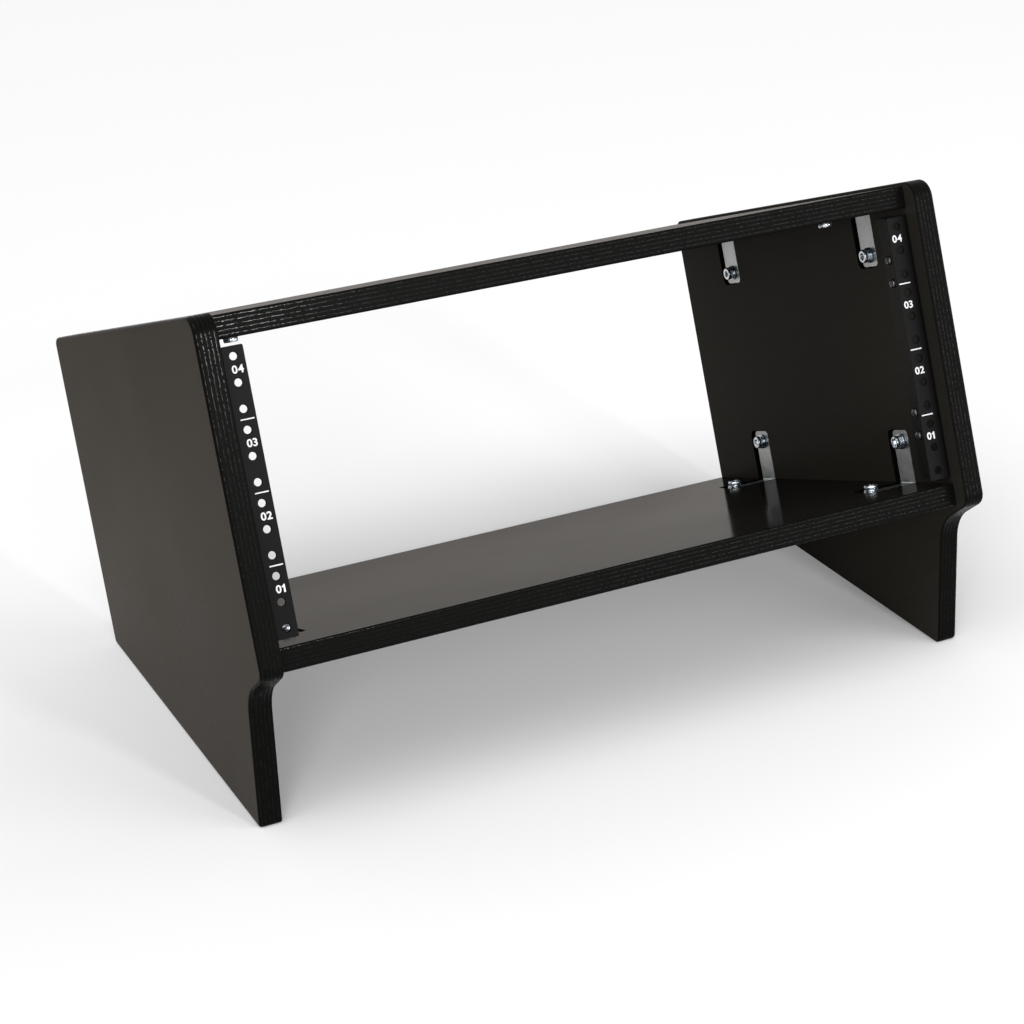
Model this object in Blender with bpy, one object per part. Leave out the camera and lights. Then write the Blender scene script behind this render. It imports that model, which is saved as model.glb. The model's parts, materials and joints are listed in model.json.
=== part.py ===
"""Slanted desktop studio rack.

A case of four birch plywood panels stands on the lower edges of its side panels, tilted back.
Bent steel brackets join the panels at the inner corners. Each bracket lies in channels that are
routed into both panels, and cap screws hold it to insert nuts in the plywood. A steel angle with
the standard hole pattern for 19 inch equipment is screwed to each side panel.

Sizes are in metres. Most of the model is built in a frame that leans with the case:
X to the right, Y back into the case, Z up along the rails. Its origin is in the middle of the
case, at the lower end of the rails' front faces. Each place along Z there is called a level.
"""

from math import acos, ceil, cos, pi, radians, sin, sqrt, tan

import bmesh
import bpy
from mathutils import Matrix, Vector

# Standard pattern of 19 inch equipment
UNITS = 4
RACK_UNIT = 0.04445
HOLE_STEP = 0.015875
HOLE_COLUMN_SPACING = 0.46512

# Plywood case
PLY = 0.015
PANEL_DEPTH = 0.3338
RAIL_END_ROOM = 0.0046
SIDE_FRONT_PROUD = 0.012
SIDE_REAR_PROUD = 0.001
SIDE_RISE = 0.002
SIDE_EDGE_ROUND = 0.0025
PANEL_EDGE_ROUND = 0.0015

# Stance and outline of the side panels
TILT = radians(19.3)
REAR_TABLE_ROOM = 0.0018
SHOULDER_ANGLE = radians(38.0)
LEG_SETBACK = 0.0297
TOP_FRONT_RADIUS = 0.012
TOP_REAR_RADIUS = 0.006
NOSE_RADIUS = 0.009
LEG_CURVE_RADIUS = 0.029
FOOT_EASE = 0.001
HEEL_EASE = 0.0012

# Rack rails
RAIL_STEEL = 0.002
RAIL_FLANGE_DEPTH = 0.036
RAIL_INSIDE_RADIUS = 0.0008
RAIL_HOLE_INSET = 0.0096
RAIL_TIP_INSET = 0.007
RAIL_HOLE_DIAMETER = 0.0052
RAIL_SCREW_INSET = 0.008
RAIL_SCREW_END_INSET = 0.0286

# Corner brackets and the channels that they lie in
BRACKET_STEEL = 0.003
BRACKET_WIDTH = 0.019
BRACKET_LEG = 0.041
BRACKET_INSIDE_RADIUS = 0.0015
BRACKET_END_RADIUS = 0.003
BRACKET_HOLE_INSET = 0.008
BRACKET_HOLE_ROOM = 0.0006
RAIL_TO_BRACKET = 0.0145
BRACKET_TO_REAR = 0.0645
CHANNEL_DEPTH = 0.005
CHANNEL_SIDE_ROOM = 0.0035
ROUTER_RADIUS = 0.005

# Cap screws with their washers, and insert nuts
THREAD_DIAMETER = 0.0054
SCREW_TIP_ROOM = 0.0007
CAP_HEAD_DIAMETER = 0.010
CAP_HEAD_HEIGHT = 0.003
CAP_HEAD_CHAMFER = 0.0005
SOCKET_FLATS = 0.004
SOCKET_DEPTH = 0.0018
LOCK_WASHER_DIAMETER = 0.0112
LOCK_WASHER_THICKNESS = 0.0013
FLAT_WASHER_DIAMETER = 0.0122
FLAT_WASHER_THICKNESS = 0.001
INSERT_DIAMETER = 0.0095
INSERT_SKIN = 0.0017
INSERT_CHAMFER = 0.0008

# Wood screws that hold the rails
WOOD_SCREW_DIAMETER = 0.0036
WOOD_SCREW_SKIN = 0.005
WOOD_SCREW_TIP = 0.003
PAN_HEAD_DIAMETER = 0.006
PAN_HEAD_HEIGHT = 0.002
PAN_HEAD_CROWN = 0.0008

# Clearance between pieces that touch, how far cutters overshoot, and how finely round forms are drawn
GAP = 0.0003
OVERSHOOT = 0.002
ARC_SAG = 0.00005
EDGE_STEPS = 3
RAIL_HOLE_SIDES = 16
SCREW_SIDES = 12

# Worked out from the sizes above
RAIL_LENGTH = UNITS * RACK_UNIT
BAY_HALF_WIDTH = HOLE_COLUMN_SPACING / 2 + RAIL_HOLE_INSET + GAP
BOTTOM_LEVEL = -RAIL_END_ROOM
TOP_LEVEL = RAIL_LENGTH + RAIL_END_ROOM
RAIL_BASE_HEIGHT = PANEL_DEPTH * sin(TILT) + (RAIL_END_ROOM + PLY) * cos(TILT) + REAR_TABLE_ROOM
RAIL_SCREW_SETBACK = RAIL_FLANGE_DEPTH - RAIL_SCREW_INSET
WOOD_SCREW_LENGTH = RAIL_STEEL + 2 * GAP + PLY - WOOD_SCREW_SKIN
SCREW_STACK = FLAT_WASHER_THICKNESS + LOCK_WASHER_THICKNESS
INSERT_LENGTH = PLY - CHANNEL_DEPTH - INSERT_SKIN - GAP
CAP_SCREW_LENGTH = SCREW_STACK + BRACKET_STEEL + INSERT_LENGTH + 3 * GAP - SCREW_TIP_ROOM
BRACKET_HOLE_DIAMETER = THREAD_DIAMETER + 2 * BRACKET_HOLE_ROOM
BRACKET_HOLE_REACH = BRACKET_LEG - BRACKET_HOLE_INSET
BRACKET_SETBACKS = {
    "front": RAIL_FLANGE_DEPTH + RAIL_TO_BRACKET + BRACKET_WIDTH / 2,
    "rear": PANEL_DEPTH - BRACKET_TO_REAR - BRACKET_WIDTH / 2,
}
SIDES = {"left": -1, "right": 1}
ENDS = {"bottom": -1, "top": 1}


def level_direction():
    """The direction back along the table, in the leaning frame's (Y, Z)."""
    return Vector((cos(TILT), sin(TILT)))


def upright_direction():
    """The direction straight up from the table, in the leaning frame's (Y, Z)."""
    return Vector((-sin(TILT), cos(TILT)))


def crossing(point_a, direction_a, point_b, direction_b):
    """The point where two lines of a plane cross."""
    reach = (point_b - point_a).cross(direction_b) / direction_a.cross(direction_b)
    return point_a + direction_a * reach


def rounded_outline(corners):
    """Points of a closed outline. Each corner is (place, radius), and a radius of 0 stays sharp."""
    points = []
    for index, (corner, radius) in enumerate(corners):
        if radius == 0:
            points.append(corner)
            continue
        before = (corners[index - 1][0] - corner).normalized()
        after = (corners[(index + 1) % len(corners)][0] - corner).normalized()
        turn = pi - before.angle(after)
        run = radius * tan(turn / 2)
        centre = corner + (before + after).normalized() * (radius / cos(turn / 2))
        start = corner + before * run - centre
        way = 1 if before.cross(after) < 0 else -1
        steps = max(2, ceil(turn / (2 * acos(1 - min(ARC_SAG / radius, 1)))))
        for step in range(steps + 1):
            points.append(centre + Matrix.Rotation(way * turn * step / steps, 2) @ start)
    return points


def side_panel_outline():
    """The side panel in the leaning frame's (Y, Z): a leaning case above, an upright leg below."""
    along = Vector((0.0, 1.0))
    across = Vector((1.0, 0.0))
    front = Vector((-SIDE_FRONT_PROUD, 0.0))
    rear = Vector((PANEL_DEPTH + SIDE_REAR_PROUD, 0.0))
    crest = Vector((0.0, TOP_LEVEL + PLY + SIDE_RISE))
    table = upright_direction() * -RAIL_BASE_HEIGHT
    nose = Vector((-SIDE_FRONT_PROUD, BOTTOM_LEVEL - PLY))
    shoulder = level_direction() * cos(SHOULDER_ANGLE) - upright_direction() * sin(SHOULDER_ANGLE)
    leg = nose + level_direction() * LEG_SETBACK
    return rounded_outline([
        (crossing(front, along, crest, across), TOP_FRONT_RADIUS),
        (crossing(crest, across, rear, along), TOP_REAR_RADIUS),
        (crossing(rear, along, table, level_direction()), SIDE_EDGE_ROUND + HEEL_EASE),
        (crossing(table, level_direction(), leg, upright_direction()), SIDE_EDGE_ROUND + FOOT_EASE),
        (crossing(leg, upright_direction(), nose, shoulder), LEG_CURVE_RADIUS),
        (nose, NOSE_RADIUS),
    ])


def leaning_frame():
    """The parent of every piece, placed so that the case stands centred over the origin."""
    reach = [point.dot(level_direction()) for point in side_panel_outline()]
    frame = bpy.data.objects.new("leaning_frame", None)
    frame.location = (0.0, -(min(reach) + max(reach)) / 2, RAIL_BASE_HEIGHT)
    frame.rotation_euler = (-TILT, 0.0, 0.0)
    bpy.context.collection.objects.link(frame)
    return frame


def finish(name, colour, roughness, metallic):
    """A Principled BSDF material."""
    material = bpy.data.materials.new(name)
    material.use_nodes = True
    shader = material.node_tree.nodes["Principled BSDF"]
    shader.inputs["Base Color"].default_value = (*colour, 1.0)
    shader.inputs["Roughness"].default_value = roughness
    shader.inputs["Metallic"].default_value = metallic
    return material


def mesh_from(bm, name):
    """Closes a bmesh into a mesh with outward faces, smooth on round stretches."""
    bmesh.ops.recalc_face_normals(bm, faces=bm.faces)
    mesh = bpy.data.meshes.new(name)
    bm.to_mesh(mesh)
    bm.free()
    mesh.shade_smooth()
    mesh.set_sharp_from_angle(angle=radians(30.0))
    return mesh


def prism(name, outline, start, end, place, edge_round=0.0, edge_test=None):
    """Extrudes a plane outline from start to end, and rounds the edges that edge_test picks.

    place takes (first, second, along) to the leaning frame.
    """
    bm = bmesh.new()
    base = bm.faces.new([bm.verts.new(place(point[0], point[1], start)) for point in outline])
    grown = bmesh.ops.extrude_face_region(bm, geom=[base])["geom"]
    shift = Vector(place(0.0, 0.0, end)) - Vector(place(0.0, 0.0, start))
    bmesh.ops.translate(bm, vec=shift, verts=[item for item in grown if isinstance(item, bmesh.types.BMVert)])
    if edge_round:
        edges = [edge for edge in bm.edges if edge_test(edge)]
        bmesh.ops.bevel(bm, geom=edges, offset=edge_round, segments=EDGE_STEPS, profile=0.5, affect="EDGES")
    return mesh_from(bm, name)


def across_case(first, second, along):
    """Outlines drawn in (Y, Z) and extruded along X."""
    return (along, first, second)


def up_case(first, second, along):
    """Outlines drawn in (X, Y) and extruded along Z."""
    return (first, second, along)


def into_case(first, second, along):
    """Outlines drawn in (X, Z) and extruded along Y."""
    return (first, along, second)


def lofted(name, rings, sides, closed_loop=False):
    """A round piece on Z through rings of (radius at an angle, height).

    Its ends are closed by flat faces, or the last ring joins the first one.
    """
    bm = bmesh.new()
    loops = []
    for radius, height in rings:
        loop = []
        for side in range(sides):
            angle = 2 * pi * side / sides
            reach = radius(angle) if callable(radius) else radius
            loop.append(bm.verts.new((reach * cos(angle), reach * sin(angle), height)))
        loops.append(loop)
    pairs = list(zip(loops, loops[1:]))
    if closed_loop:
        pairs.append((loops[-1], loops[0]))
    else:
        bm.faces.new(loops[0])
        bm.faces.new(loops[-1])
    for lower, upper in pairs:
        for side in range(sides):
            after = (side + 1) % sides
            bm.faces.new((lower[side], lower[after], upper[after], upper[side]))
    return mesh_from(bm, name)


def add_piece(name, mesh, material, parent, location=(0.0, 0.0, 0.0), turn=None):
    """Places one piece in the leaning frame. turn is a rotation matrix."""
    piece = bpy.data.objects.new(name, mesh)
    if material and not mesh.materials:
        mesh.materials.append(material)
    bpy.context.collection.objects.link(piece)
    piece.parent = parent
    piece.location = location
    if turn:
        piece.rotation_euler = turn.to_euler()
    return piece


def cut(piece, mesh):
    """Cuts a mesh that is drawn in the piece's own frame out of the piece."""
    cutter = add_piece(mesh.name, mesh, None, piece.parent)
    cutter.matrix_basis = piece.matrix_basis
    cutter.hide_render = True
    cutter.display_type = "WIRE"
    modifier = piece.modifiers.new(mesh.name, "BOOLEAN")
    modifier.operation = "DIFFERENCE"
    modifier.solver = "EXACT"
    modifier.object = cutter
    return cutter


def drill_mesh(name, places, direction, diameter, start, end, sides=SCREW_SIDES):
    """Round cutters along a direction, each from start to end beyond its place."""
    bm = bmesh.new()
    turn = direction.to_track_quat("Z", "Y").to_matrix().to_4x4()
    for place in places:
        middle = Matrix.Translation(place + direction * (start + end) / 2)
        bmesh.ops.create_cone(
            bm,
            cap_ends=True,
            segments=sides,
            radius1=diameter / 2,
            radius2=diameter / 2,
            depth=end - start,
            matrix=middle @ turn,
        )
    return mesh_from(bm, name)


def rectangle(low_first, high_first, low_second, high_second, radii=(0.0, 0.0, 0.0, 0.0)):
    """A rectangle's outline. The radii go round from its low corner, along the first direction."""
    corners = [
        Vector((low_first, low_second)),
        Vector((high_first, low_second)),
        Vector((high_first, high_second)),
        Vector((low_first, high_second)),
    ]
    return rounded_outline(list(zip(corners, radii)))


def bracket_corner_inset():
    """How far a bracket's outer faces lie behind the panels' inner faces."""
    return CHANNEL_DEPTH - GAP


def channel_end_room():
    """The room past a bracket's end, where its square corners clear the router's round ones."""
    square = max(ROUTER_RADIUS - CHANNEL_SIDE_ROOM, 0.0)
    return ROUTER_RADIUS - sqrt((ROUTER_RADIUS - GAP) ** 2 - square ** 2)


def channel_reach():
    """How far a channel runs from the inner corner of the case."""
    return BRACKET_LEG - bracket_corner_inset() + channel_end_room()


def bracket_hole_distance():
    """How far the bracket's screws lie from the inner corner of the case."""
    return BRACKET_HOLE_REACH - bracket_corner_inset()


def corner_level(end):
    """The level of the top panel's or the bottom panel's inner face."""
    return TOP_LEVEL if end > 0 else BOTTOM_LEVEL


def screw_levels():
    """The levels of the four wood screws of a rail, a pair one hole step apart near each end."""
    lower = [RAIL_SCREW_END_INSET, RAIL_SCREW_END_INSET + HOLE_STEP]
    return lower + [RAIL_LENGTH - level for level in reversed(lower)]


def insert_hole_diameter():
    """The drilled hole that an insert nut sits in."""
    return INSERT_DIAMETER + 2 * GAP


def channel_half_width():
    """Half the width of a routed channel."""
    return BRACKET_WIDTH / 2 + CHANNEL_SIDE_ROOM


def make_side_panel(name, side, material, frame):
    """One side panel, with a channel and an insert hole for each bracket and pilots for the rail."""
    inner = side * BAY_HALF_WIDTH
    outer = side * (BAY_HALF_WIDTH + PLY)

    def on_outer_edge(edge):
        return edge.calc_face_angle(0.0) > radians(60.0)

    body = prism(name, side_panel_outline(), inner, outer, across_case, SIDE_EDGE_ROUND, on_outer_edge)
    panel = add_piece(name, body, material, frame)
    floor = side * (BAY_HALF_WIDTH + CHANNEL_DEPTH)
    corner_room = bracket_corner_inset() + channel_end_room()
    holes = []
    for place, setback in BRACKET_SETBACKS.items():
        for end_name, end in ENDS.items():
            level = corner_level(end)
            limits = sorted((level + end * corner_room, level - end * channel_reach()))
            outline = rectangle(
                setback - channel_half_width(),
                setback + channel_half_width(),
                *limits,
                radii=(ROUTER_RADIUS,) * 4,
            )
            channel = prism(
                f"{name}_{place}_{end_name}_channel",
                outline,
                inner - side * OVERSHOOT,
                floor,
                across_case,
            )
            cut(panel, channel)
            holes.append(Vector((floor, setback, level - end * bracket_hole_distance())))
    outward = Vector((side, 0.0, 0.0))
    bores = (holes, outward, insert_hole_diameter(), -OVERSHOOT, INSERT_LENGTH + GAP)
    cut(panel, drill_mesh(f"{name}_insert_holes", *bores))
    pilots = [Vector((inner, RAIL_SCREW_SETBACK, level)) for level in screw_levels()]
    pilot = (pilots, outward, WOOD_SCREW_DIAMETER + 2 * GAP, -OVERSHOOT, PLY - WOOD_SCREW_SKIN + GAP)
    cut(panel, drill_mesh(f"{name}_pilot_holes", *pilot))
    return panel


def make_cross_panel(name, end, material, frame):
    """The top panel or the bottom panel, with channels that open at its ends."""
    inner = corner_level(end)
    outer = inner + end * PLY
    half_length = BAY_HALF_WIDTH - GAP

    def on_long_edge(edge):
        along = (edge.verts[1].co - edge.verts[0].co).normalized()
        return abs(along.x) > 0.99

    outline = rectangle(0.0, PANEL_DEPTH, *sorted((inner, outer)))
    body = prism(name, outline, -half_length, half_length, across_case, PANEL_EDGE_ROUND, on_long_edge)
    panel = add_piece(name, body, material, frame)
    floor = inner + end * CHANNEL_DEPTH
    shut = ROUTER_RADIUS
    holes = []
    for place, setback in BRACKET_SETBACKS.items():
        for side_name, side in SIDES.items():
            mouth = side * (half_length + OVERSHOOT)
            limits = sorted((side * (BAY_HALF_WIDTH - channel_reach()), mouth))
            radii = (shut, 0.0, 0.0, shut) if side > 0 else (0.0, shut, shut, 0.0)
            outline = rectangle(
                *limits,
                setback - channel_half_width(),
                setback + channel_half_width(),
                radii=radii,
            )
            channel = prism(
                f"{name}_{place}_{side_name}_channel",
                outline,
                inner - end * OVERSHOOT,
                floor,
                up_case,
            )
            cut(panel, channel)
            holes.append(Vector((side * (BAY_HALF_WIDTH - bracket_hole_distance()), setback, floor)))
    outward = Vector((0.0, 0.0, end))
    bores = (holes, outward, insert_hole_diameter(), -OVERSHOOT, INSERT_LENGTH + GAP)
    cut(panel, drill_mesh(f"{name}_insert_holes", *bores))
    return panel


def hole_levels():
    """The levels of a rail's holes: three in each unit, half a short step from its ends."""
    edge = (RACK_UNIT - 2 * HOLE_STEP) / 2
    return [unit * RACK_UNIT + edge + hole * HOLE_STEP for unit in range(UNITS) for hole in range(3)]


def make_rail(name, side, material, frame):
    """A steel angle whose narrow flange faces the front and whose wide one lies on the side panel."""
    back = side * (BAY_HALF_WIDTH - GAP)
    column = back - side * RAIL_HOLE_INSET
    tip = column - side * RAIL_TIP_INSET
    lining = back - side * RAIL_STEEL
    section = rounded_outline([
        (Vector((tip, 0.0)), 0.0),
        (Vector((back, 0.0)), RAIL_INSIDE_RADIUS + RAIL_STEEL),
        (Vector((back, RAIL_FLANGE_DEPTH)), 0.0),
        (Vector((lining, RAIL_FLANGE_DEPTH)), 0.0),
        (Vector((lining, RAIL_STEEL)), RAIL_INSIDE_RADIUS),
        (Vector((tip, RAIL_STEEL)), 0.0),
    ])
    rail = add_piece(name, prism(name, section, 0.0, RAIL_LENGTH, up_case), material, frame)
    inward = Vector((0.0, 1.0, 0.0))
    fronts = [Vector((column, 0.0, level)) for level in hole_levels()]
    through = (-OVERSHOOT, RAIL_STEEL + OVERSHOOT)
    cut(rail, drill_mesh(f"{name}_holes", fronts, inward, RAIL_HOLE_DIAMETER, *through, RAIL_HOLE_SIDES))
    outward = Vector((side, 0.0, 0.0))
    flanks = [Vector((lining, RAIL_SCREW_SETBACK, level)) for level in screw_levels()]
    fit = WOOD_SCREW_DIAMETER + 2 * GAP
    cut(rail, drill_mesh(f"{name}_screw_holes", flanks, outward, fit, *through))
    return rail


def bracket_mesh(material, frame):
    """A flat bar bent to a right angle on Y, its outer corner at the origin, its legs on +X and +Z."""
    section = rounded_outline([
        (Vector((0.0, 0.0)), BRACKET_INSIDE_RADIUS + BRACKET_STEEL),
        (Vector((BRACKET_LEG, 0.0)), 0.0),
        (Vector((BRACKET_LEG, BRACKET_STEEL)), 0.0),
        (Vector((BRACKET_STEEL, BRACKET_STEEL)), BRACKET_INSIDE_RADIUS),
        (Vector((BRACKET_STEEL, BRACKET_LEG)), 0.0),
        (Vector((0.0, BRACKET_LEG)), 0.0),
    ])

    def on_leg_end(edge):
        middle = (edge.verts[0].co + edge.verts[1].co) / 2
        along = (edge.verts[1].co - edge.verts[0].co).normalized()
        return max(middle.x, middle.z) > BRACKET_HOLE_REACH and abs(along.y) < 0.5

    half = BRACKET_WIDTH / 2
    bar = prism("bracket_bar", section, -half, half, into_case, BRACKET_END_RADIUS, on_leg_end)
    bent = add_piece("bracket_bar", bar, material, frame)
    through = (-OVERSHOOT, BRACKET_STEEL + OVERSHOOT)
    cutters = []
    for foot, direction in (
        (Vector((BRACKET_HOLE_REACH, 0.0, 0.0)), Vector((0.0, 0.0, 1.0))),
        (Vector((0.0, 0.0, BRACKET_HOLE_REACH)), Vector((1.0, 0.0, 0.0))),
    ):
        drill = drill_mesh("bracket_hole", [foot], direction, BRACKET_HOLE_DIAMETER, *through)
        cutters.append(cut(bent, drill))
    view = bpy.context.evaluated_depsgraph_get()
    mesh = bpy.data.meshes.new_from_object(bent.evaluated_get(view))
    for helper in (bent, *cutters):
        bpy.data.objects.remove(helper)
    return mesh


def hexagon(flats):
    """The radius of a hexagon at an angle, from its width across flats."""
    def radius(angle):
        return flats / 2 / cos((angle + pi / 6) % (pi / 3) - pi / 6)
    return radius


def cap_screw_mesh(name):
    """A cap screw on Z with its washers, the flat washer's underside at height 0, its head up."""
    shank = THREAD_DIAMETER / 2
    washer = FLAT_WASHER_DIAMETER / 2
    spring = LOCK_WASHER_DIAMETER / 2
    head = CAP_HEAD_DIAMETER / 2
    top = SCREW_STACK + CAP_HEAD_HEIGHT
    tip = SCREW_STACK - CAP_SCREW_LENGTH
    return lofted(name, [
        (shank, tip),
        (shank, 0.0),
        (washer, 0.0),
        (washer, FLAT_WASHER_THICKNESS),
        (spring, FLAT_WASHER_THICKNESS),
        (spring, SCREW_STACK),
        (head, SCREW_STACK),
        (head, top - CAP_HEAD_CHAMFER),
        (head - CAP_HEAD_CHAMFER, top),
        (hexagon(SOCKET_FLATS), top),
        (hexagon(SOCKET_FLATS), top - SOCKET_DEPTH),
    ], SCREW_SIDES)


def insert_mesh(name):
    """A threaded sleeve on Z, its top at height 0."""
    outer = INSERT_DIAMETER / 2
    bore = THREAD_DIAMETER / 2 + GAP
    return lofted(name, [
        (bore, -INSERT_LENGTH),
        (outer - INSERT_CHAMFER, -INSERT_LENGTH),
        (outer, INSERT_CHAMFER - INSERT_LENGTH),
        (outer, 0.0),
        (bore, 0.0),
    ], SCREW_SIDES, closed_loop=True)


def wood_screw_mesh(name):
    """A pan head wood screw on Z, the underside of its head at height 0, its head up."""
    shank = WOOD_SCREW_DIAMETER / 2
    head = PAN_HEAD_DIAMETER / 2
    return lofted(name, [
        (shank / 4, -WOOD_SCREW_LENGTH),
        (shank, WOOD_SCREW_TIP - WOOD_SCREW_LENGTH),
        (shank, 0.0),
        (head, 0.0),
        (head, PAN_HEAD_HEIGHT - PAN_HEAD_CROWN),
        (head * 0.7, PAN_HEAD_HEIGHT),
    ], SCREW_SIDES)


def facing(direction):
    """The rotation that takes +Z to a direction."""
    return direction.to_track_quat("Z", "Y").to_matrix()


def make_bracket_joints(zinc, steel, frame):
    """The eight brackets, each with two cap screws and two insert nuts."""
    bracket = bracket_mesh(zinc, frame)
    cap_screw = cap_screw_mesh("cap_screw")
    insert = insert_mesh("insert_nut")
    quarter_turns = {("left", "bottom"): 0, ("left", "top"): 1, ("right", "top"): 2, ("right", "bottom"): 3}
    for place, setback in BRACKET_SETBACKS.items():
        for side_name, side in SIDES.items():
            for end_name, end in ENDS.items():
                spot = f"{side_name}_{end_name}_{place}"
                level = corner_level(end)
                corner = Vector((
                    side * (BAY_HALF_WIDTH + bracket_corner_inset()),
                    setback,
                    level + end * bracket_corner_inset(),
                ))
                turn = Matrix.Rotation(quarter_turns[side_name, end_name] * pi / 2, 3, "Y")
                add_piece(f"bracket_{spot}", bracket, zinc, frame, corner, turn)
                for panel, along, inward in (
                    ("side", Vector((0.0, 0.0, -end)), Vector((-side, 0.0, 0.0))),
                    (end_name, Vector((-side, 0.0, 0.0)), Vector((0.0, 0.0, -end))),
                ):
                    hole = corner + along * BRACKET_HOLE_REACH
                    seat = hole + inward * (BRACKET_STEEL + GAP)
                    floor = hole - inward * GAP
                    add_piece(f"cap_screw_{spot}_{panel}", cap_screw, zinc, frame, seat, facing(inward))
                    add_piece(f"insert_nut_{spot}_{panel}", insert, steel, frame, floor, facing(inward))


def make_rail_screws(material, frame):
    """The wood screws through the rails' side flanges, numbered from the lowest up."""
    mesh = wood_screw_mesh("wood_screw")
    for side_name, side in SIDES.items():
        inward = Vector((-side, 0.0, 0.0))
        for number, level in enumerate(screw_levels(), start=1):
            lining = side * (BAY_HALF_WIDTH - 2 * GAP - RAIL_STEEL)
            place = Vector((lining, RAIL_SCREW_SETBACK, level))
            add_piece(f"rail_screw_{side_name}_{number}", mesh, material, frame, place, facing(inward))


def clear_scene():
    """Removes whatever the scene holds."""
    for thing in list(bpy.data.objects):
        bpy.data.objects.remove(thing)


def main():
    """Builds the rack."""
    clear_scene()
    black_ply = finish("black_ply", (0.028, 0.026, 0.023), 0.45, 0.0)
    rail_paint = finish("rail_paint", (0.030, 0.030, 0.032), 0.5, 0.0)
    zinc = finish("zinc", (0.62, 0.62, 0.60), 0.35, 1.0)
    steel = finish("insert_steel", (0.55, 0.50, 0.36), 0.4, 1.0)
    frame = leaning_frame()
    for side_name, side in SIDES.items():
        make_side_panel(f"side_panel_{side_name}", side, black_ply, frame)
        make_rail(f"rail_{side_name}", side, rail_paint, frame)
    for end_name, end in ENDS.items():
        make_cross_panel(f"{end_name}_panel", end, black_ply, frame)
    make_bracket_joints(zinc, steel, frame)
    make_rail_screws(zinc, frame)


main()
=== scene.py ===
import json
from math import acos, ceil, cos, pi, radians, sin, tan

import bmesh
import bpy
from mathutils import Matrix, Vector


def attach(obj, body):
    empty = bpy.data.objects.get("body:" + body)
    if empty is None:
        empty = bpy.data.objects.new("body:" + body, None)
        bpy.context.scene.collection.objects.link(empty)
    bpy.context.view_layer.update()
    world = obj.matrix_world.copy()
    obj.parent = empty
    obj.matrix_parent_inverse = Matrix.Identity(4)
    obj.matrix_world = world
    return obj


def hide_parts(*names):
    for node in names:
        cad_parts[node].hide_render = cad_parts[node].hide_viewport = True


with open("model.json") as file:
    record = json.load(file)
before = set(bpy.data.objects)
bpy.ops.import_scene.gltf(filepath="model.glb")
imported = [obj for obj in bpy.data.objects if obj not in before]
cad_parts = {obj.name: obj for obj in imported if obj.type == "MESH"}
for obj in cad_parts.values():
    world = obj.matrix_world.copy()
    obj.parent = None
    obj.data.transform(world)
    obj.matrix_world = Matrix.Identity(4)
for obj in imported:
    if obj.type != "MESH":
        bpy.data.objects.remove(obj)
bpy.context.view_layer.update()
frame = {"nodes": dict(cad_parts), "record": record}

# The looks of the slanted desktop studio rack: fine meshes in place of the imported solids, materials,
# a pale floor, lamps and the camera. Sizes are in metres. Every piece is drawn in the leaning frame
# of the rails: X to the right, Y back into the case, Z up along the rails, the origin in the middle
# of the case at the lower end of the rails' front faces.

# Pattern of 19 inch equipment on the rails
UNITS = 4
RACK_UNIT = 0.04445
HOLE_STEP = 0.015875
HOLE_COLUMN_SPACING = 0.46512

# Outline of the side panels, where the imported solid's box doesn't give it
SHOULDER_ANGLE = radians(38.0)
LEG_SETBACK = 0.0297
TOP_FRONT_RADIUS = 0.012
TOP_REAR_RADIUS = 0.006
NOSE_RADIUS = 0.009
LEG_CURVE_RADIUS = 0.029
HEEL_RADIUS = 0.0037
FOOT_RADIUS = 0.0035
SIDE_EDGE_ROUND = 0.0025
SIDE_INNER_EDGE_ROUND = 0.0011
PANEL_EDGE_ROUND = 0.0012
CUT_EDGE = 0.0003

# Channels, brackets and their holes
CHANNEL_DEPTH = 0.005
CHANNEL_SIDE_ROOM = 0.0035
CHANNEL_END_ROOM = 0.00055
ROUTER_RADIUS = 0.005
BRACKET_STEEL = 0.003
BRACKET_LEG = 0.041
BRACKET_INSIDE_RADIUS = 0.0015
BRACKET_END_RADIUS = 0.003
BRACKET_HOLE_INSET = 0.008
BRACKET_HOLE_REACH = BRACKET_LEG - BRACKET_HOLE_INSET
BRACKET_HOLE_DIAMETER = 0.0066
BRACKET_EDGE = 0.00025
INSERT_HOLE_DIAMETER = 0.0101
INSERT_HOLE_DEPTH = 0.0083

# Rails
RAIL_STEEL = 0.002
RAIL_INSIDE_RADIUS = 0.0008
RAIL_THREAD_DIAMETER = 0.0058
RAIL_THREAD_BORE = 0.0048
RAIL_THREAD_PITCH = 0.001
THREAD_FACE_ROOM = 0.00002
TAP_STEPS = 20
TAP_SIDES = 36
RAIL_END_RADIUS = 0.0012
RAIL_EDGE = 0.0003
RAIL_SCREW_HOLE = 0.0042
PILOT_DEPTH = 0.0103

# Screws and washers
THREAD_DIAMETER = 0.0054
CAP_HEAD_DIAMETER = 0.0092
CAP_HEAD_HEIGHT = 0.003
CAP_HEAD_ROUND = 0.0006
CAP_HEAD_ROUND_STEPS = 4
CAP_SCREW_SIDES = 180
SOCKET_FLATS = 0.004
SOCKET_DEPTH = 0.0018
SOCKET_CHAMFER = 0.0003
SOCKET_MOUTH_DIAMETER = 0.0049
KNURLS = 30
KNURL_DEPTH = 0.00018
KNURL_RISE = 0.0002
KNURL_RUNOUT = 0.0003
LOCK_WASHER_DIAMETER = 0.0100
LOCK_WASHER_THICKNESS = 0.0013
LOCK_WASHER_BORE = 0.0062
LOCK_WASHER_EASE = 0.00015
LOCK_WASHER_WIRE_SHARE = 0.84
LOCK_WASHER_SPLIT = radians(14.0)
LOCK_WASHER_STEPS = 60
FLAT_WASHER_DIAMETER = 0.0108
FLAT_WASHER_THICKNESS = 0.001
FLAT_WASHER_BORE_ROOM = 0.0002
FLAT_WASHER_EASE = 0.0002
FLAT_WASHER_SIDES = 64
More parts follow.
